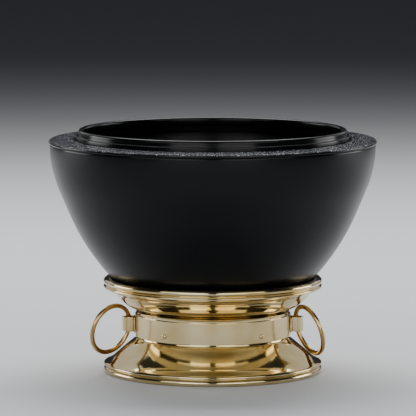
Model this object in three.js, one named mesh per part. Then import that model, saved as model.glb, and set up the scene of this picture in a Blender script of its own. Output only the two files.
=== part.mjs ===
// An alms bowl standing in a spun brass stand.
// The bowl is a black lacquered metal vessel with a flat shoulder and a raised mouth.
// The stand is two equal flared rings, one turned upside down, joined by a plain waist band
// that carries two strap lugs, and a loose pull ring hangs in each lug.
// Millimetres, +Z up, origin at the centre of the foot on the table. -Y is the front.

import * as THREE from "three";

// Driving sizes of the stand
const standHeight = 58;
const rimRadius = 67;
const beadWidth = 6.1;
const beadHeight = 4.3;
const notchWidth = 0.5;
const notchDepth = 1.5;
const flangeRadius = 66.9;
const flangeEdgeHeight = 0.9;
const flangeEdgeRound = 0.7;
const flangeCornerRadius = 60;
const flangeCornerHeight = 9.4;
const flareShoulderRadius = 56;
const flareShoulderHeight = 14.1;
const throatRadius = 49.4;
const throatHeight = 18.4;
const neckRadius = 46.6;
const sheetThickness = 1.2;
const waistBandHeight = 13.4;
const waistBandThickness = 0.8;

// Driving sizes of the lugs, the pull rings and the studs
const lugReach = 7.5;
const lugHalfWidth = 4.85;
const lugHeight = 8.8;
const lugStrapThickness = 0.8;
const lugFootLength = 3.4;
const ringRoom = 14;
const ringWireDiameter = 2.9;
const ringPivotReach = 3.4;
const ringSetback = 0.3;
const leftRingSwing = 44;
const leftRingDrop = 8;
const leftRingTilt = 14;
const rightRingSwing = 61.5;
const rightRingDrop = 9;
const rightRingTilt = 16;
const studDiameter = 3;
const studHeight = 0.7;
const studDrop = 2.7;
const studAngle = 38;

// Driving sizes of the bowl
const bowlRadius = 100;
const bowlWall = 2.8;
const edgeRadius = 1.3;
const edgeOverhang = 0.6;
const upperArcRadius = 73;
const wallLean = 22.95;
const wallStraight = 15.2;
const lowerArcRadius = 135.5;
const bellyAngle = 47;
const bottomArcRadius = 58;
const baseRadius = 20;
const shoulderRise = 0.2;
const collarRadius = 83.4;
const collarHeight = 2.6;
const collarEdge = 0.8;
const grooveWidth = 0.9;
const grooveDepth = 0.5;
const lipRadius = 81.9;
const lipWidth = 3.1;
const lipHeight = 3.6;
const lipFaceHeight = 2.6;

// Clearance between neighbouring pieces and fineness of the round work
const clearance = 0.3;
const turnedSides = 44;
const ringSides = 20;
const wireSides = 8;

const toRadians = (degrees) => (degrees * Math.PI) / 180;
const point = (x, y) => new THREE.Vector2(x, y);

const brass = new THREE.MeshStandardMaterial({ color: 0xc8ab68, metalness: 1, roughness: 0.12 });
const wireBrass = new THREE.MeshStandardMaterial({ color: 0xa87f45, metalness: 1, roughness: 0.22 });
const blackLacquer = new THREE.MeshStandardMaterial({ color: 0x0b0c10, metalness: 0.2, roughness: 0.25 });

function makeMesh(name, geometry, material) {
  const mesh = new THREE.Mesh(geometry, material);
  mesh.name = name;
  return mesh;
}

// Points on an elliptic arc from one angle to another, in degrees
function arcPoints(centre, radiusX, radiusY, fromDegrees, toDegrees, steps) {
  const points = [];
  for (let i = 0; i <= steps; i += 1) {
    const angle = toRadians(fromDegrees + ((toDegrees - fromDegrees) * i) / steps);
    points.push(point(centre.x + radiusX * Math.cos(angle), centre.y + radiusY * Math.sin(angle)));
  }
  return points;
}

// The same path moved sideways by a distance, to the left of its direction of travel
function offsetPath(path, distance) {
  const normals = path.slice(1).map((end, i) => {
    const along = end.clone().sub(path[i]).normalize();
    return point(-along.y, along.x);
  });
  return path.map((at, i) => {
    const before = normals[Math.max(i - 1, 0)];
    const after = normals[Math.min(i, normals.length - 1)];
    const middle = before.clone().add(after).normalize();
    return at.clone().addScaledVector(middle, distance / middle.dot(before));
  });
}

// A solid of revolution about Z from a profile of (radius, height) points, outer side going up.
// A profile that begins on the axis also ends there, and any other is closed on itself.
function turned(profile) {
  const closed = profile[0].x > 0 ? [...profile, profile[0].clone()] : profile;
  const geometry = new THREE.LatheGeometry(closed, turnedSides);
  geometry.rotateX(Math.PI / 2);
  return geometry;
}

// Half section of one flared ring, its height measured from its bead.
// The bead is a rolled edge, then come a thin flange, a steep cone, a rounded shoulder and the neck.
// Eight flats stand in for the bead's round, and their corners lie this much further out.
const cornerReach = 1 / Math.cos(Math.PI / 8);
const beadCentre = point(rimRadius - beadWidth / 2, beadHeight / 2);
const beadRadiusX = (beadWidth / 2) * cornerReach;
const beadRadiusY = (beadHeight / 2) * cornerReach;

function beadOutline() {
  return arcPoints(beadCentre, beadRadiusX, beadRadiusY, 157.5, 382.5, 5);
}

function flareProfile() {
  const flangeBottom = beadHeight + notchWidth;
  const flangeTop = flangeBottom + flangeEdgeHeight;
  const edge = [
    point(rimRadius - notchDepth, beadHeight),
    point(flangeRadius, flangeBottom),
    point(flangeRadius, flangeTop),
    point(flangeRadius - flangeEdgeRound, flangeTop + flangeEdgeRound),
  ];
  const cone = [
    point(flangeCornerRadius, flangeCornerHeight),
    point(flareShoulderRadius + 0.9, flareShoulderHeight - 1.2),
    point(flareShoulderRadius - 0.6, flareShoulderHeight + 0.7),
    point(throatRadius, throatHeight),
    point(neckRadius + 0.5, throatHeight + 1.4),
    point(neckRadius, throatHeight + 2.4),
    point(neckRadius, standHeight / 2 - clearance / 2),
  ];
  return [...beadOutline(), ...edge, ...cone, ...offsetPath(cone, sheetThickness).reverse()];
}

function makeFlares() {
  const foot = makeMesh("foot_flare", turned(flareProfile()), brass);
  const cup = makeMesh("cup_flare", turned(flareProfile()), brass);
  cup.rotation.x = Math.PI;
  cup.position.z = standHeight;
  return [foot, cup];
}

// The waist band wraps the butt joint between the two necks
const bandInner = neckRadius + clearance;
const bandOuter = bandInner + waistBandThickness;
const waistHeight = standHeight / 2;

function makeWaistBand() {
  const low = waistHeight - waistBandHeight / 2;
  const high = waistHeight + waistBandHeight / 2;
  const chamfer = waistBandThickness / 2;
  return makeMesh("waist_band", turned([
    point(bandInner, low),
    point(bandOuter - chamfer, low),
    point(bandOuter, low + chamfer),
    point(bandOuter, high - chamfer),
    point(bandOuter - chamfer, high),
    point(bandInner, high),
  ]), brass);
}

// Low domed studs on the band, each on a flat back just off the band's face
function makeStuds() {
  const shape = [
    point(0, 0),
    ...arcPoints(point(0, 0), studDiameter / 2, studHeight, 0, 90, 3),
  ];
  return [-studAngle, studAngle, 180 - studAngle, 180 + studAngle].map((angle, i) => {
    const geometry = new THREE.LatheGeometry(shape, wireSides);
    geometry.rotateX(Math.PI);
    const mesh = makeMesh(`band_stud_${i + 1}`, geometry, brass);
    const around = toRadians(angle);
    const reach = bandOuter + clearance;
    mesh.position.set(Math.sin(around) * reach, -Math.cos(around) * reach, waistHeight - studDrop);
    mesh.rotation.z = around;
    return mesh;
  });
}

// Each lug is a strap bent into an open loop, with a foot on either side that follows the band
const footRadius = bandOuter + clearance;
const lugCentre = footRadius + lugReach - lugHalfWidth;

function lugOutline() {
  const inside = lugHalfWidth - lugStrapThickness;
  const outerFoot = footRadius + lugStrapThickness;
  const footEnd = (lugHalfWidth + lugFootLength) / footRadius;
  const toDegrees = 180 / Math.PI;
  const innerRoot = Math.asin(inside / footRadius) * toDegrees;
  const outerRoot = Math.asin(lugHalfWidth / outerFoot) * toDegrees;
  const end = footEnd * toDegrees;
  const axis = point(0, 0);
  const loop = point(lugCentre, 0);
  return [
    ...arcPoints(axis, outerFoot, outerFoot, -end, -outerRoot, 2),
    ...arcPoints(loop, lugHalfWidth, lugHalfWidth, -90, 90, 12),
    ...arcPoints(axis, outerFoot, outerFoot, outerRoot, end, 2),
    ...arcPoints(axis, footRadius, footRadius, end, innerRoot, 2),
    ...arcPoints(loop, inside, inside, 90, -90, 10),
    ...arcPoints(axis, footRadius, footRadius, -innerRoot, -end, 2),
  ];
}

function makeLug(name, side) {
  const shape = new THREE.Shape(lugOutline());
  const geometry = new THREE.ExtrudeGeometry(shape, { depth: lugHeight, bevelEnabled: false });
  geometry.translate(0, 0, waistHeight - lugHeight / 2);
  const mesh = makeMesh(name, geometry, brass);
  mesh.rotation.z = side > 0 ? 0 : Math.PI;
  return mesh;
}

// A pull ring passes through its lug, swings to the front about the lug's upright axis,
// hangs a little below it and leans, its top towards the stand. It is as large as the height
// between the flanges lets it be.
const ringRadius = waistHeight - ringRoom;

function makePullRing(name, side, swing, dropDegrees, tilt) {
  const geometry = new THREE.TorusGeometry(ringRadius, ringWireDiameter / 2, wireSides, ringSides);
  geometry.rotateX(Math.PI / 2);
  const drop = toRadians(dropDegrees);
  geometry.translate(ringRadius * Math.cos(drop) - ringSetback, 0, -ringRadius * Math.sin(drop));
  const ring = makeMesh(name, geometry, wireBrass);
  ring.rotation.x = side * toRadians(tilt);
  const swivel = new THREE.Group();
  swivel.rotation.z = side > 0 ? -toRadians(swing) : Math.PI + toRadians(swing);
  swivel.position.set(side * (footRadius + ringPivotReach), 0, waistHeight);
  swivel.add(ring);
  return swivel;
}

// Half section of the bowl, its height measured from the top of its wall, where the rounded
// edge of the shoulder stands out over it
function bowlProfile() {
  const lean = toRadians(wallLean);
  const wallRadius = bowlRadius - edgeOverhang;
  const upperCentre = point(wallRadius - upperArcRadius, 0);
  const upper = arcPoints(upperCentre, upperArcRadius, upperArcRadius, 0, -wallLean, 4);
  const leanEnd = upper[upper.length - 1];
  const straightEnd = leanEnd.clone().add(point(-Math.sin(lean), -Math.cos(lean)).multiplyScalar(wallStraight));
  const inward = (angle) => point(-Math.cos(toRadians(angle)), Math.sin(toRadians(angle)));
  const lowerCentre = straightEnd.clone().addScaledVector(inward(wallLean), lowerArcRadius);
  const lower = arcPoints(lowerCentre, lowerArcRadius, lowerArcRadius, -wallLean, -bellyAngle, 4);
  const bellyEnd = lower[lower.length - 1];
  const bottomCentre = bellyEnd.clone().addScaledVector(inward(bellyAngle), bottomArcRadius);
  const baseAngle = (Math.acos((baseRadius - bottomCentre.x) / bottomArcRadius) * 180) / Math.PI;
  const bottom = arcPoints(bottomCentre, bottomArcRadius, bottomArcRadius, -bellyAngle, -baseAngle, 3);
  const baseHeight = bottom[bottom.length - 1].y;
  const wall = [...upper, ...lower, ...bottom.slice(1)];

  const edgeCentre = point(bowlRadius - edgeRadius, edgeRadius * 0.8);
  const edge = arcPoints(edgeCentre, edgeRadius, edgeRadius, 90, -30, 3);
  const shoulderHeight = edgeCentre.y + edgeRadius + shoulderRise;
  const collarTop = shoulderHeight + collarHeight;
  const lipCentre = point(lipRadius - lipWidth / 2, collarTop + lipHeight - lipWidth / 2);
  const lip = arcPoints(lipCentre, lipWidth / 2, lipWidth / 2, 180, 0, 6);
  const collar = [
    point(lipRadius, collarTop),
    point(collarRadius - collarEdge, collarTop),
    point(collarRadius, collarTop - collarEdge),
    point(collarRadius, shoulderHeight - grooveDepth),
    point(collarRadius + grooveWidth, shoulderHeight - grooveDepth),
    point(collarRadius + grooveWidth * 1.5, shoulderHeight),
  ];
  const mouthRadius = lipRadius - lipWidth;
  const inner = offsetPath(wall, -bowlWall).slice(1).reverse();
  const roofHeight = edgeCentre.y + edgeRadius - bowlWall;
  const throat = [
    point(bowlRadius - bowlWall - edgeRadius, roofHeight),
    point(collarRadius - bowlWall, roofHeight),
    point(collarRadius - bowlWall, lipCentre.y - lipFaceHeight - bowlWall / 2),
    point(mouthRadius, lipCentre.y - lipFaceHeight),
  ];
  const profile = [
    point(0, baseHeight + bowlWall),
    ...inner,
    ...throat,
    ...lip,
    ...collar,
    ...edge,
    ...wall,
    point(0, baseHeight),
  ];
  return { profile: profile.reverse(), wall };
}

// The bowl sinks into the cup until its wall is one clearance away from the bead
function seatHeight(wall) {
  const bead = beadOutline().map(({ x, y }) => point(x, standHeight - y));
  const heights = wall.slice(1).map((low, i) => {
    const along = low.clone().sub(wall[i]).normalize();
    const outward = point(-along.y, along.x);
    const nearest = Math.min(...bead.map((corner) => outward.dot(corner)));
    return (clearance + outward.dot(low) - nearest) / -outward.y;
  });
  return Math.min(...heights);
}

function makeBowl() {
  const { profile, wall } = bowlProfile();
  const bowl = makeMesh("bowl", turned(profile), blackLacquer);
  bowl.position.z = seatHeight(wall);
  return bowl;
}

const almsBowl = new THREE.Group();
almsBowl.add(makeBowl());
almsBowl.add(...makeFlares());
almsBowl.add(makeWaistBand());
almsBowl.add(...makeStuds());
almsBowl.add(makeLug("left_lug", -1));
almsBowl.add(makeLug("right_lug", 1));
almsBowl.add(makePullRing("left_ring", -1, leftRingSwing, leftRingDrop, leftRingTilt));
almsBowl.add(makePullRing("right_ring", 1, rightRingSwing, rightRingDrop, rightRingTilt));

export default almsBowl;
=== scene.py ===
"""A black lacquered alms bowl in a spun brass stand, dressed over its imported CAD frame.

Sizes in the classes are millimetres, lamps and camera are metres. +Z is up and -Y is the front.
"""

import logging
import math
from dataclasses import dataclass
from enum import Enum
from typing import Any

import bmesh
import bpy
import numpy as np
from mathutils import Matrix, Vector


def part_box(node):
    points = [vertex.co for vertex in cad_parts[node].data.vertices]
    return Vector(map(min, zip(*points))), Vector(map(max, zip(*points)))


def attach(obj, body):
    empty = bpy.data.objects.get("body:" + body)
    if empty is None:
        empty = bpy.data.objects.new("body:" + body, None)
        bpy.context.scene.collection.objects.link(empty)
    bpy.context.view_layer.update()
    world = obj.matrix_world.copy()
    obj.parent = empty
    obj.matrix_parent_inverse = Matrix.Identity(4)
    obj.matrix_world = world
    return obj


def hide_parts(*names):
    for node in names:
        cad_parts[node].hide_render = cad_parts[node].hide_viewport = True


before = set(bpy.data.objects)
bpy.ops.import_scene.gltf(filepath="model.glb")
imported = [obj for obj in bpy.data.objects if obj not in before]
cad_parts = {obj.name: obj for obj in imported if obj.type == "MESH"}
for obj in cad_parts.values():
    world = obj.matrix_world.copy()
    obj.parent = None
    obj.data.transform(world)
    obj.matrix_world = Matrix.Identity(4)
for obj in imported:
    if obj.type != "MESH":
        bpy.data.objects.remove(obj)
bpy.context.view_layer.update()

log = logging.getLogger("alms_bowl")

MM = 0.001
MERGE_METRES = 2e-6
SHORTEST_STEP = 0.02
UP = np.array([0.0, 0.0, 1.0])

Pair = tuple[float, float]
Triple = tuple[float, float, float]


class Side(Enum):
    """The two sides of the stand, by the sign of X."""

    LEFT = -1
    RIGHT = 1


# Surfaces: lines of points, and the meshes made from them.


def arc(centre: Pair, radii: Pair, start: float, end: float, steps: int) -> np.ndarray:
    """Points on an ellipse: centre plus (rx cos a, ry sin a) for a from start to end.

    Args:
        centre: middle of the ellipse, in millimetres.
        radii: its two half axes.
        start: first angle in degrees.
        end: last angle in degrees.
        steps: number of points.

    Returns:
        An array of (radius, height) points.
    """
    angle = np.radians(np.linspace(start, end, steps))
    across = centre[0] + radii[0] * np.cos(angle)
    return np.stack([across, centre[1] + radii[1] * np.sin(angle)], 1)


def softened(corners: list, steps: int = 8) -> np.ndarray:
    """A polyline whose corners are rounded: each becomes a parabola between two trimmed points.

    Args:
        corners: (x, y, trim) for each corner, trim being how far along both edges the round goes.
        steps: points on each round.

    Returns:
        The rounded line as an array of points, open at its ends.
    """
    data = np.array(corners, float)
    at, trim = data[:, :2], data[:, 2:]
    before, after = np.roll(at, 1, 0), np.roll(at, -1, 0)
    before[0], after[-1] = at[0] + (at[0] - at[1]), at[-1] + (at[-1] - at[-2])
    into = (before - at) / np.linalg.norm(before - at, axis=1, keepdims=True)
    out = (after - at) / np.linalg.norm(after - at, axis=1, keepdims=True)
    t = np.linspace(0, 1, steps)[None, :, None]
    start, end, middle = (at + into * trim)[:, None], (at + out * trim)[:, None], at[:, None]
    rounds = (1 - t) ** 2 * start + 2 * t * (1 - t) * middle + t**2 * end
    return np.concatenate([at[:1], rounds[1:-1].reshape(-1, 2), at[-1:]])


def spaced(path: np.ndarray, gap: float) -> np.ndarray:
    """The same line with points added by its length, so that no step is longer than the gap.

    Args:
        path: points on the line.
        gap: the longest step, in millimetres.

    Returns:
        The line's own points and the added ones, in order, less those that nearly meet.
    """
    length = np.r_[0, np.cumsum(np.linalg.norm(np.diff(path, axis=0), axis=1))]
    even = np.linspace(0, length[-1], int(length[-1] / gap) + 2)
    stations = np.unique(np.round(np.r_[length, even], 3))
    stations = stations[np.r_[True, np.diff(stations) > SHORTEST_STEP]]
    columns = [np.interp(stations, length, path[:, i]) for i in range(path.shape[1])]
    return np.stack(columns, 1)


def grid_mesh(name: str, points: np.ndarray, along: bool) -> bpy.types.Object:
    """A mesh of four-sided faces over a grid of points P(u, v), whose last v joins the first.

    Args:
        name: the object's name.
        points: array of shape (u, v, 3) in millimetres.
        along: the last u joins the first; if not, both ends are closed by a face.

    Returns:
        The new object, at the origin, smooth and with its faces pointing outwards.
    """
    rows, columns = points.shape[:2]
    index = np.arange(rows * columns).reshape(rows, columns)
    index = np.concatenate([index, index[:, :1]], 1)
    index = np.concatenate([index, index[:1]], 0) if along else index
    quads = np.stack([index[:-1, :-1], index[1:, :-1], index[1:, 1:], index[:-1, 1:]], -1)
    faces = quads.reshape(-1, 4).tolist()
    if not along:
        faces += [index[0, :-1].tolist(), index[-1, :-1][::-1].tolist()]
    mesh = bpy.data.meshes.new(name)
    mesh.from_pydata((points.reshape(-1, 3) * MM).tolist(), [], faces)
    return finished(name, mesh)


def finished(name: str, mesh: bpy.types.Mesh) -> bpy.types.Object:
    """Merges a mesh's doubles, turns its normals outwards and makes its faces smooth.

    Args:
        name: the object's name.
        mesh: the mesh, which is changed.

    Returns:
        A new object with the mesh, in the scene and at the origin.
    """
    work = bmesh.new()
    work.from_mesh(mesh)
    bmesh.ops.remove_doubles(work, verts=work.verts, dist=MERGE_METRES)
    bmesh.ops.recalc_face_normals(work, faces=work.faces)
    work.to_mesh(mesh)
    work.free()
    mesh.shade_smooth()
    piece = bpy.data.objects.new(name, mesh)
    bpy.context.scene.collection.objects.link(piece)
    return piece


def turned(name: str, profile: np.ndarray, sides: int, closed: bool) -> bpy.types.Object:
    """A surface of turning: P(u, v) = (r(u) cos v, r(u) sin v, z(u)).

    Args:
        name: the object's name.
        profile: (radius, height) points in millimetres.
        sides: steps round the axis.
        closed: the profile joins up with itself; if not, it starts and ends on the axis.

    Returns:
        The turned piece.
    """
    v = np.linspace(0, 2 * math.pi, sides, endpoint=False)
    r, z = profile[:, :1], profile[:, 1:]
    points = np.stack([r * np.cos(v), r * np.sin(v), z + 0 * v], -1)
    return grid_mesh(name, points, closed)


def carried(name: str, middle: np.ndarray, across: np.ndarray, up: np.ndarray,
            section: np.ndarray, closed: bool) -> bpy.types.Object:
    """A section carried along a line: P(u, v) = middle(u) + s(v) across(u) + t(v) up(u).

    Args:
        name: the object's name.
        middle: points of the line, in millimetres.
        across: unit vectors for the section's first direction, one for each point.
        up: unit vectors for its second direction.
        section: (s, t) points of the closed section.
        closed: the line joins up with itself.

    Returns:
        The swept piece.
    """
    s, t = section[None, :, :1], section[None, :, 1:]
    points = middle[:, None] + s * across[:, None] + t * up[:, None]
    return grid_mesh(name, points, closed)


# Finishes: node materials that read Object coordinates.


def linear(colour: str) -> tuple[float, ...]:
    """Turns an sRGB colour to linear, by the standard's straight piece and power curve.

    Args:
        colour: six hex digits.

    Returns:
        Linear red, green and blue, and an alpha of one.
    """
    value = np.array([int(colour[i : i + 2], 16) for i in (0, 2, 4)]) / 255
    line = np.where(value <= 0.04045, value / 12.92, ((value + 0.055) / 1.055) ** 2.4)
    return (*line.tolist(), 1.0)


def add_node(tree: Any, kind: str, inputs: dict, **settings: Any) -> Any:
    """Adds a shader node.

    Args:
        tree: the node tree it goes in.
        kind: Blender's name for the node.
        inputs: input name or number to a value, or to the output that is linked there.
        settings: the node's own properties.

    Returns:
        The new node.
    """
    made = tree.nodes.new(kind)
    for key, value in settings.items():
        setattr(made, key, value)
    for key, value in inputs.items():
        if isinstance(value, bpy.types.NodeSocket):
            tree.links.new(value, made.inputs[key])
        else:
            made.inputs[key].default_value = value
    return made


def new_material(name: str) -> tuple[bpy.types.Material, Any, Any]:
    """An empty node material, with its tree and the Object coordinates all patterns read.

    Args:
        name: the material's name.

    Returns:
        The material, its tree and the output of Object coordinates in metres.
    """
    made = bpy.data.materials.new(name)
    made.use_nodes = True
    made.node_tree.nodes.clear()
    place = add_node(made.node_tree, "ShaderNodeTexCoord", {})
    return made, made.node_tree, place.outputs["Object"]


@dataclass(frozen=True)
class BlackLacquer:
    """Sprayed black lacquer on iron: near black, glossy, with soft edges to what it mirrors.

    It lies thicker and smoother above the wall, so the shoulder's edge, the collar and the lip
    show lamps as bright thin lines. The flat of the shoulder is left grainy under it, and its
    highest grains are painted pale as painted glints. The grain is drawn at 0.8 mm, a little
    coarser than the real one, so that it shows.
    """

    ground: str = "040507"
    # Pale colour painted on the shoulder's highest grains: painted glints.
    painted_glint: str = "D2DAEA"
    wall_roughness: float = 0.27
    top_roughness: float = 0.18
    top_starts_mm: Pair = (137.0, 140.0)
    ior: float = 1.5
    specular: float = 0.18
    peel_mm: float = 5.0
    peel_strength: float = 0.02
    grain_mm: float = 0.8
    grain_strength: float = 0.8
    bump_mm: float = 0.5
    crests: Pair = (0.60, 0.66)
    shoulder_radius_mm: Pair = (84.6, 85.1)
    shoulder_height_mm: Pair = (141.4, 142.2)

    def build(self) -> bpy.types.Material:
        """Makes the finish.

        Returns:
            The node material.
        """
        made, tree, place = new_material("black_lacquer_sprayed")
        flat = add_node(tree, "ShaderNodeVectorMath", {0: place, 1: (1, 1, 0)},
                        operation="MULTIPLY")
        radius = add_node(tree, "ShaderNodeVectorMath", {0: flat.outputs[0]}, operation="LENGTH")
        split = add_node(tree, "ShaderNodeSeparateXYZ", {0: place})
        # The shoulder is the part beyond the collar and above the wall.
        beyond = add_node(tree, "ShaderNodeMapRange",
                          {0: radius.outputs["Value"], 1: self.shoulder_radius_mm[0] * MM,
                           2: self.shoulder_radius_mm[1] * MM}, interpolation_type="SMOOTHSTEP")
        above = add_node(tree, "ShaderNodeMapRange",
                         {0: split.outputs["Z"], 1: self.shoulder_height_mm[0] * MM,
                          2: self.shoulder_height_mm[1] * MM}, interpolation_type="SMOOTHSTEP")
        shoulder = add_node(tree, "ShaderNodeMath", {0: beyond.outputs[0], 1: above.outputs[0]},
                            operation="MULTIPLY")
        peel = add_node(tree, "ShaderNodeTexNoise",
                        {"Vector": place, "Scale": 1 / (self.peel_mm * MM), "Detail": 1.0})
        grain = add_node(tree, "ShaderNodeTexNoise",
                         {"Vector": place, "Scale": 1 / (self.grain_mm * MM), "Detail": 2.0,
                          "Roughness": 0.6})
        # Painted glints: the highest grains, on the shoulder only, are painted pale.
        crest = add_node(tree, "ShaderNodeMapRange",
                         {0: grain.outputs[0], 1: self.crests[0], 2: self.crests[1]},
                         interpolation_type="SMOOTHSTEP")
        painted_glint = add_node(tree, "ShaderNodeMath", {0: crest.outputs[0], 1: shoulder.outputs[0]},
                         operation="MULTIPLY")
        colour = add_node(tree, "ShaderNodeMix",
                          {0: painted_glint.outputs[0], 6: linear(self.ground), 7: linear(self.painted_glint)},
                          data_type="RGBA")
        height = add_node(tree, "ShaderNodeMath", {0: grain.outputs[0], 1: shoulder.outputs[0]},
                          operation="MULTIPLY")
        smooth = add_node(tree, "ShaderNodeBump",
                          {"Height": peel.outputs[0], "Strength": self.peel_strength,
                           "Distance": self.bump_mm * MM})
        rough = add_node(tree, "ShaderNodeBump",
                         {"Height": height.outputs[0], "Strength": self.grain_strength,
                          "Distance": self.bump_mm * MM, "Normal": smooth.outputs[0]})
        gloss = add_node(tree, "ShaderNodeMapRange",
                         {0: split.outputs["Z"], 1: self.top_starts_mm[0] * MM,
                          2: self.top_starts_mm[1] * MM, 3: self.wall_roughness,
                          4: self.top_roughness})
        shader = add_node(tree, "ShaderNodeBsdfPrincipled",
                          {"Base Color": colour.outputs[2], "Roughness": gloss.outputs[0],
                           "IOR": self.ior, "Specular IOR Level": self.specular,
                           "Normal": rough.outputs[0]})
        add_node(tree, "ShaderNodeOutputMaterial", {"Surface": shader.outputs[0]})
        return made


@dataclass(frozen=True)
class SpunBrass:
    """Brass spun on a lathe and buffed: a clear mirror with faint rings round the axis.

    Buffing leaves it a little warmer and duller in some places, in soft clouds.
    """

    name: str
    bright: str = "DCCCA2"
    warm: str = "CDB67F"
    cloud_mm: float = 28.0
    cloud_edges: Pair = (0.38, 0.66)
    roughness: float = 0.09
    roughness_spread: Pair = (0.7, 1.4)
    line_mm: float = 0.9
    line_depth: float = 0.05
    bump_mm: float = 0.2

    def build(self) -> bpy.types.Material:
        """Makes the finish.

        Returns:
            The node material.
        """
        made, tree, place = new_material(self.name)
        cloud = add_node(tree, "ShaderNodeTexNoise",
                         {"Vector": place, "Scale": 1 / (self.cloud_mm * MM), "Detail": 3.0})
        amount = add_node(tree, "ShaderNodeMapRange",
                          {0: cloud.outputs[0], 1: self.cloud_edges[0], 2: self.cloud_edges[1]},
                          interpolation_type="SMOOTHSTEP")
        colour = add_node(tree, "ShaderNodeMix",
                          {0: amount.outputs[0], 6: linear(self.bright), 7: linear(self.warm)},
                          data_type="RGBA")
        # The tool's lines depend only on the distance from the axis and on the height.
        flat = add_node(tree, "ShaderNodeVectorMath", {0: place, 1: (1, 1, 0)},
                        operation="MULTIPLY")
        radius = add_node(tree, "ShaderNodeVectorMath", {0: flat.outputs[0]}, operation="LENGTH")
        split = add_node(tree, "ShaderNodeSeparateXYZ", {0: place})
        ringwise = add_node(tree, "ShaderNodeCombineXYZ",
                            {0: radius.outputs["Value"], 2: split.outputs["Z"]})
        lines = add_node(tree, "ShaderNodeTexNoise",
                         {"Vector": ringwise.outputs[0], "Scale": 1 / (self.line_mm * MM),
                          "Detail": 2.0})
        bump = add_node(tree, "ShaderNodeBump",
                        {"Height": lines.outputs[0], "Strength": self.line_depth,
                         "Distance": self.bump_mm * MM})
        gloss = add_node(tree, "ShaderNodeMapRange",
                         {0: cloud.outputs[0], 3: self.roughness * self.roughness_spread[0],
                          4: self.roughness * self.roughness_spread[1]})
        shader = add_node(tree, "ShaderNodeBsdfPrincipled",
                          {"Base Color": colour.outputs[2], "Metallic": 1.0,
                           "Roughness": gloss.outputs[0], "Normal": bump.outputs[0]})
        add_node(tree, "ShaderNodeOutputMaterial", {"Surface": shader.outputs[0]})
        return made


@dataclass(frozen=True)
class PaleFloor:
    """Matt pale paint under the object, which shows shadows and no mirror image."""

    colour: str = "CDCFD2"
    roughness: float = 0.85

    def build(self) -> bpy.types.Material:
        """Makes the finish.

        Returns:
            The node material.
        """
        made, tree, _ = new_material("matt_pale_paint")
        shader = add_node(tree, "ShaderNodeBsdfPrincipled",
                          {"Base Color": linear(self.colour), "Roughness": self.roughness})
        add_node(tree, "ShaderNodeOutputMaterial", {"Surface": shader.outputs[0]})
        return made


def dressed(piece: bpy.types.Object, finish: bpy.types.Material, node: str, body: str) -> None:
    """Gives a piece its finish, puts it on its CAD body and hides the CAD node it stands for.

    Args:
        piece: the new piece.
        finish: its material.
        node: the CAD node that it stands for, which is hidden.
        body: the CAD body it rides on.
    """
    piece.data.materials.clear()
    piece.data.materials.append(finish)
    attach(piece, body)
    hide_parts(node)
    log.info("%s: %d faces for %s on %s", piece.name, len(piece.data.polygons), node, body)


# The bowl


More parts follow.
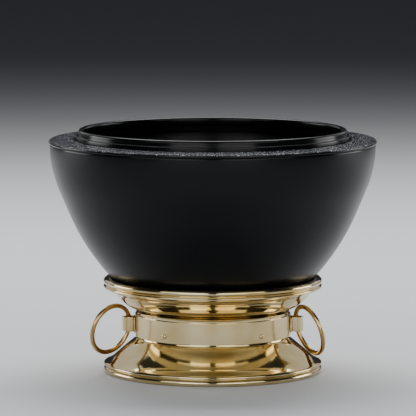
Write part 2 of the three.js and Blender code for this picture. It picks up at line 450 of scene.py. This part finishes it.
@dataclass
class Bowl:
    """The turned iron vessel: belly, grainy shoulder, collar and half-round lip."""

    radius: float = 100.0
    wall: float = 2.8
    edge: float = 1.3
    edge_height: float = 1.04
    overhang: float = 0.6
    seam: float = 0.25
    upper_arc: float = 73.0
    lean: float = 22.95
    straight: float = 15.2
    lower_arc: float = 135.5
    belly_angle: float = 47.0
    bottom_arc: float = 58.0
    base: float = 20.0
    shoulder_rise: float = 0.2
    collar: float = 83.4
    collar_height: float = 2.8
    groove: float = 0.9
    groove_depth: float = 0.5
    lip: float = 81.9
    lip_width: float = 3.1
    throat_drops: Triple = (1.0, 2.6, 4.0)
    height_over_wall: float = 8.74
    sides: int = 224
    longest_step: float = 1.7

    def wall_line(self, inset: float) -> np.ndarray:
        """The wall from its top to the flat base: three arcs and a straight, on shared centres.

        Args:
            inset: how far inside the outer face, in millimetres.

        Returns:
            (radius, height) points, the height from the wall's top.
        """
        lean, belly = math.radians(self.lean), math.radians(self.belly_angle)
        reach = self.radius - self.overhang
        one = np.array([reach - self.upper_arc, 0.0])
        first = arc(one, (self.upper_arc - inset,) * 2, 0, -self.lean, 24)
        turn = one + self.upper_arc * np.array([math.cos(lean), -math.sin(lean)])
        turn = turn - self.straight * np.array([math.sin(lean), math.cos(lean)])
        two = turn + self.lower_arc * np.array([-math.cos(lean), math.sin(lean)])
        second = arc(two, (self.lower_arc - inset,) * 2, -self.lean, -self.belly_angle, 40)
        low = two + self.lower_arc * np.array([math.cos(belly), -math.sin(belly)])
        three = low + self.bottom_arc * np.array([-math.cos(belly), math.sin(belly)])
        flat = math.degrees(math.acos((self.base - three[0]) / self.bottom_arc))
        third = arc(three, (self.bottom_arc - inset,) * 2, -self.belly_angle, -flat, 24)
        return np.concatenate([first, second, third[1:]])

    def profile(self) -> np.ndarray:
        """The whole half section, from the base's middle up the outside and down the inside.

        Returns:
            (radius, height) points, the height from the wall's top.
        """
        outer, inner = self.wall_line(0)[::-1], self.wall_line(self.wall)
        edge_centre = (self.radius - self.edge, self.edge_height)
        top = self.edge_height + self.edge
        rise, ledge = top + self.shoulder_rise, top + self.collar_height
        half = self.lip_width / 2
        lip_centre = (self.lip - half, self.height_over_wall - half)
        # A fine line runs where the wall meets the shoulder's rounded edge.
        seam_radius = self.radius - self.overhang - self.seam
        seam = np.array([[seam_radius, 0.12], [seam_radius + 0.05, 0.3]])
        edge = arc(edge_centre, (self.edge,) * 2, -38, 90, 14)
        # Over the shoulder, down into the groove, up the collar and in to the lip.
        bottom = rise - self.groove_depth
        collar = softened([
            (edge_centre[0] - 0.4, top, 0.05),
            (self.collar + self.groove * 1.4, rise, 0.25),
            (self.collar + self.groove, bottom, 0.15),
            (self.collar, bottom, 0.1),
            (self.collar, ledge, 0.75),
            (self.lip + 0.05, ledge, 0.1),
            (self.lip, lip_centre[1] - 0.2, 0.05)])
        lip = arc(lip_centre, (half, half), 0, 180, 20)
        # Inside: down from the mouth, out under the collar and back to the wall.
        mouth, under = self.lip - self.lip_width, self.collar - self.wall
        roof = top - self.wall
        near, middle, far = (lip_centre[1] - drop for drop in self.throat_drops)
        throat = softened([
            (mouth, near, 0.1), (mouth, middle, 0.3), (under, far, 0.4), (under, roof, 0.5),
            (inner[0, 0] - 1.8, roof, 0.6), (inner[1, 0], inner[1, 1], 0.1)])
        line = np.concatenate([[[0, outer[0, 1]]], outer, seam, edge, collar, lip, throat,
                               inner[2:], [[0, inner[-1, 1]]]])
        return spaced(line, self.longest_step)

    def build(self) -> None:
        """Makes the bowl and sets its lip at the height of the CAD node's."""
        profile = self.profile()
        profile[:, 1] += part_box("bowl")[1].z / MM - self.height_over_wall
        piece = turned("bowl_lacquered", profile, self.sides, False)
        dressed(piece, BlackLacquer().build(), "bowl", "stand")


# The stand


@dataclass
class Stand:
    """Two like flared rings, one upside down, a waist band, studs and the strap lugs.

    The corners of a cone are (radius, height, trim), the height from the bead's underside.
    """

    height: float = 58.0
    gap: float = 0.3
    rim: float = 67.0
    bead_width: float = 6.1
    bead_height: float = 4.3
    bead_flat: float = 0.06
    bead_join: float = 3.0
    flange: float = 66.9
    flange_heights: Triple = (4.75, 5.7, 6.45)
    foot_cone: tuple[Triple, ...] = ((62.0, 8.6, 2.0), (55.0, 14.8, 5.8), (49.2, 19.4, 1.3))
    cup_cone: tuple[Triple, ...] = ((60.2, 9.3, 0.7), (56.0, 15.0, 6.3), (49.2, 18.6, 1.3))
    cone_inside: tuple[Triple, ...] = (
        (48.9, 17.3, 1.0), (55.2, 13.2, 2.8), (59.4, 8.3, 1.1), (61.3, 6.0, 0.8))
    throat_rise: float = 2.0
    throat_inside: float = 20.0
    neck: float = 46.6
    sheet: float = 1.2
    band_height: float = 13.4
    band_sheet: float = 0.8
    stud: float = 3.0
    stud_height: float = 0.7
    stud_drop: float = 2.7
    stud_angle: float = 38.0
    stud_sides: int = 28
    lug_reach: float = 7.5
    lug_half: float = 4.85
    lug_height: float = 8.8
    lug_foot: float = 3.4
    lug_root_degrees: float = 1.2
    lug_root_round: float = 0.8
    sides: int = 224
    longest_step: float = 0.5

    def flare_profile(self, cone: tuple[Triple, ...]) -> np.ndarray:
        """Half section of one flared ring: bead, flange, cone and neck, and back up the inside.

        Args:
            cone: its corners where the flange ends, at mid cone and at the throat.

        Returns:
            (radius, height) points of the closed section.
        """
        half, meeting = self.bead_width / 2, self.height / 2 - self.gap / 2
        bead = arc((self.rim - half, self.bead_height / 2), (half, self.bead_height / 2),
                   165, 415, 40)
        bead[:, 1] = np.maximum(bead[:, 1], self.bead_flat) - self.bead_flat
        low, middle, high = self.flange_heights
        outside = softened([
            (self.rim - 1.5, self.bead_height, 0.1),
            (self.flange - 0.1, low, 0.2),
            (self.flange, middle, 0.5),
            (self.flange - 0.9, high, 0.6),
            *cone,
            (self.neck, cone[-1][1] + self.throat_rise, 1.2),
            (self.neck, meeting, 0.05)], 24)
        bore = self.neck - self.sheet
        inside = softened([
            (bore, meeting, 0.05), (bore, self.throat_inside, 1.6), *self.cone_inside,
            (bead[0, 0], self.bead_join, 0.1)])
        return spaced(np.concatenate([bead, outside, inside]), self.longest_step)

    def band_profile(self) -> np.ndarray:
        """Half section of the waist band: a thin upright strip with softened edges.

        Returns:
            (radius, height) points of the closed section.
        """
        inner = self.neck + self.gap
        outer = inner + self.band_sheet
        low, high = (self.height - self.band_height) / 2, (self.height + self.band_height) / 2
        seam = ((inner + outer) / 2, high, 0.01)
        line = softened([seam, (inner, high, 0.1), (inner, low, 0.1), (outer, low, 0.35),
                         (outer, high, 0.35), seam])
        return spaced(line, self.longest_step)

    def lug_line(self, side: Side) -> tuple[np.ndarray, np.ndarray]:
        """Plan of a strap lug: a foot on the band, an arm, a half circle, and the same again.

        Args:
            side: which side of the stand.

        Returns:
            Points of the strap's middle line and unit vectors across it.
        """
        strap = self.band_sheet
        foot = self.neck + self.gap + strap + self.gap + strap / 2
        centre = foot - strap / 2 + self.lug_reach - self.lug_half
        loop = self.lug_half - strap / 2
        root = math.degrees(math.asin(loop / foot))
        end = math.degrees((self.lug_half + self.lug_foot) / foot)
        low = arc((0, 0), (foot, foot), -end, -root - self.lug_root_degrees, 8)
        high = arc((0, 0), (foot, foot), root + self.lug_root_degrees, end, 8)
        bow = arc((centre, 0), (loop, loop), -90, 90, 40)
        corner = (foot * math.cos(math.radians(root)), -loop, self.lug_root_round)
        rise = softened([(*low[-1], 0.01), corner, (*bow[0], 0.01)], 6)[1:-1]
        plan = np.concatenate([low, rise, bow, (rise * (1, -1))[::-1], high])
        plan = spaced(plan, 0.4) * (side.value, side.value)
        along = np.gradient(plan, axis=0)
        along /= np.linalg.norm(along, axis=1, keepdims=True)
        line = np.c_[plan, np.full(len(plan), self.height / 2)]
        across = np.c_[along[:, 1], -along[:, 0], np.zeros(len(plan))]
        return line, across

    def build(self) -> None:
        """Makes every fixed brass piece."""
        foot_finish = SpunBrass("brass_spun_and_buffed").build()
        # Rolled strip, polished flat: a softer mirror with hardly a line in it.
        strip_finish = SpunBrass("brass_strip_polished", roughness=0.2, line_depth=0.02).build()
        foot = self.flare_profile(self.foot_cone)
        piece = turned("foot_flare_spun", foot, self.sides, True)
        dressed(piece, foot_finish, "foot_flare", "stand")
        cup = self.flare_profile(self.cup_cone)
        cup = np.c_[cup[:, 0], self.height - cup[:, 1]][::-1]
        piece = turned("cup_flare_spun", cup, self.sides, True)
        dressed(piece, foot_finish, "cup_flare", "stand")
        band = turned("waist_band_strip", self.band_profile(), self.sides, True)
        dressed(band, strip_finish, "waist_band", "stand")
        self.build_studs(strip_finish)
        for side in Side:
            self.build_lug(side, strip_finish)

    def build_studs(self, finish: bpy.types.Material) -> None:
        """Makes the four domed studs: a quarter ellipse turned about the line that points out.

        Args:
            finish: the studs' material.
        """
        reach = self.neck + 2 * self.gap + self.band_sheet
        dome = arc((0, 0), (self.stud / 2, self.stud_height), 0, 90, 8)
        profile = np.concatenate([[[0, 0]], dome])
        angles = (-self.stud_angle, self.stud_angle, 180 - self.stud_angle, 180 + self.stud_angle)
        v = np.linspace(0, 2 * math.pi, self.stud_sides, endpoint=False)
        for number, degrees in enumerate(angles, 1):
            around = math.radians(degrees)
            out = np.array([math.sin(around), -math.cos(around), 0.0])
            across = np.array([math.cos(around), math.sin(around), 0.0])
            spin = np.cos(v)[:, None] * across + np.sin(v)[:, None] * UP
            middle = out * reach + UP * (self.height / 2 - self.stud_drop)
            points = middle + profile[:, None, :1] * spin + profile[:, None, 1:] * out
            stud = grid_mesh(f"stud_{number}_dome", points, False)
            dressed(stud, finish, f"band_stud_{number}", "stand")

    def build_lug(self, side: Side, finish: bpy.types.Material) -> None:
        """Makes one strap lug: the strap's section, with softened edges, carried along its plan.

        Args:
            side: which side of the stand.
            finish: the strap's material.
        """
        node = f"{side.name.lower()}_lug"
        line, across = self.lug_line(side)
        thick, tall, soft = self.band_sheet / 2, self.lug_height / 2, 0.2
        section = softened([
            (0.0, tall, 0.01), (-thick, tall, soft), (-thick, -tall, soft), (thick, -tall, soft),
            (thick, tall, soft), (0.0, tall, 0.01)], 4)
        up = np.tile(UP, (len(line), 1))
        lug = carried(f"{node}_strap", line, across, up, spaced(section, 0.9), False)
        dressed(lug, finish, node, "stand")


@dataclass
class PullRing:
    """A loose ring of brass wire: a circle in the plane of out and rise, carrying a round section.

    Swing turns it about the lug's upright line, drop lowers its far side, tilt leans it over.
    """

    side: Side
    swing: float
    drop: float
    tilt: float
    radius: float = 15.0
    wire: float = 2.9
    pivot: float = 51.4
    setback: float = 0.3
    middle_height: float = 29.0
    steps: int = 144
    section_steps: int = 24

    def build(self, finish: bpy.types.Material) -> None:
        """Makes the ring where the CAD node has it.

        Args:
            finish: the wire's material.
        """
        name = self.side.name.lower()
        sign, swing, drop = self.side.value, math.radians(self.swing), math.radians(self.drop)
        tilt = math.radians(self.tilt) * sign
        out = np.array([sign * math.cos(swing), -math.sin(swing), 0.0])
        rise = math.cos(tilt) * UP + math.sin(tilt) * np.cross(out, UP)
        start = np.array([sign * self.pivot, 0, self.middle_height]) - self.setback * out
        centre = start + self.radius * (math.cos(drop) * out - math.sin(drop) * rise)
        angle = np.linspace(0, 2 * math.pi, self.steps, endpoint=False)[:, None]
        spoke = np.cos(angle) * out + np.sin(angle) * rise
        normal = np.tile(np.cross(out, rise), (len(angle), 1))
        section = arc((0, 0), (self.wire / 2,) * 2, 0, 360, self.section_steps + 1)[:-1]
        line = centre + self.radius * spoke
        ring = carried(f"{name}_ring_wire", line, spoke, normal, section, True)
        dressed(ring, finish, f"{name}_ring", f"{name}_pull")


# The studio


@dataclass
class Softbox:
    """A large soft lamp, in metres and watts, aimed at a point on the object's axis."""

    name: str
    place: Triple
    size: Pair
    power: float
    colour: str = "FFFFFF"
    aim: Triple = (0.0, 0.0, 0.08)

    def build(self) -> None:
        """Makes the lamp; it faces its aim along its own -Z."""
        data = bpy.data.lights.new(self.name, "AREA")
        data.shape, data.size, data.size_y = "RECTANGLE", *self.size
        data.energy, data.color = self.power, linear(self.colour)[:3]
        lamp = bpy.data.objects.new(self.name, data)
        toward = Vector(self.aim) - Vector(self.place)
        lamp.location, lamp.rotation_euler = self.place, toward.to_track_quat("-Z", "Y").to_euler()
        bpy.context.scene.collection.objects.link(lamp)


@dataclass
class Studio:
    """Plain pale floor, soft light and the camera at the photograph's angle.

    Each of the pairs is a name, the right lamp's place, its size and its power.
    """

    overhead: tuple[Triple, Pair, float] = ((0.0, 0.62, 1.2), (1.1, 0.9), 24.0)
    pairs: tuple[tuple[str, Triple, Pair, float], ...] = (
        ("back", (0.62, 0.95, 0.6), (0.6, 0.9), 1.1),
        ("side", (1.1, 0.4, 0.3), (0.6, 0.5), 4.5),
        ("front", (0.64, -0.98, 0.66), (1.1, 0.7), 4.2),
        ("low", (0.42, -1.2, 0.22), (0.68, 0.3), 2.2),
    )
    world: str = "5C5E63"
    world_strength: float = 0.3
    floor_reach: float = 12.0
    pitch: float = 6.45
    distance: float = 2.2
    lens: float = 311.5
    sensor: float = 36.0
    clip: Pair = (0.05, 60.0)
    aim: Triple = (-0.0029, 0.0, 0.1002)

    def build(self) -> None:
        """Makes the floor, the lamps, the world and the camera."""
        self.build_floor()
        self.build_lamps()
        self.build_world()
        self.build_camera()

    def build_floor(self) -> None:
        """Makes the floor, one large square at height zero."""
        mesh = bpy.data.meshes.new("floor")
        r = self.floor_reach
        mesh.from_pydata([(-r, -r, 0), (r, -r, 0), (r, r, 0), (-r, r, 0)], [], [(0, 1, 2, 3)])
        floor = bpy.data.objects.new("floor", mesh)
        bpy.context.scene.collection.objects.link(floor)
        mesh.materials.append(PaleFloor().build())

    def build_lamps(self) -> None:
        """Makes the lamp overhead and the pairs, left before right."""
        Softbox("overhead", *self.overhead).build()
        for name, (x, y, z), size, power in self.pairs:
            for side in Side:
                lamp_name = f"{name}_{side.name.lower()}"
                Softbox(lamp_name, (side.value * x, y, z), size, power).build()

    def build_world(self) -> None:
        """Makes the dim grey world that fills the shadows."""
        world = bpy.data.worlds.new("dim_studio")
        world.use_nodes = True
        back = world.node_tree.nodes["Background"]
        back.inputs["Color"].default_value = linear(self.world)
        back.inputs["Strength"].default_value = self.world_strength
        bpy.context.scene.world = world

    def build_camera(self) -> None:
        """Makes the camera, which looks along +Y and down by the pitch."""
        pitch = math.radians(self.pitch)
        data = bpy.data.cameras.new("camera")
        data.lens, data.sensor_width = self.lens, self.sensor
        data.clip_start, data.clip_end = self.clip
        camera = bpy.data.objects.new("camera", data)
        back = Vector((0.0, -math.cos(pitch), math.sin(pitch)))
        camera.location = Vector(self.aim) + self.distance * back
        camera.rotation_euler = (math.pi / 2 - pitch, 0.0, 0.0)
        bpy.context.scene.collection.objects.link(camera)
        bpy.context.scene.camera = camera


def main() -> None:
    """Builds the object's pieces, then the studio."""
    logging.basicConfig(level=logging.INFO)
    Bowl().build()
    Stand().build()
    # Drawn wire, browner and duller than the sheet from handling.
    wire = SpunBrass("brass_wire_drawn", bright="CDB384", warm="B0905C", roughness=0.16).build()
    PullRing(Side.LEFT, swing=44.0, drop=8.0, tilt=14.0).build(wire)
    PullRing(Side.RIGHT, swing=61.5, drop=9.0, tilt=16.0).build(wire)
    Studio().build()


if __name__ == "__main__":
    main()
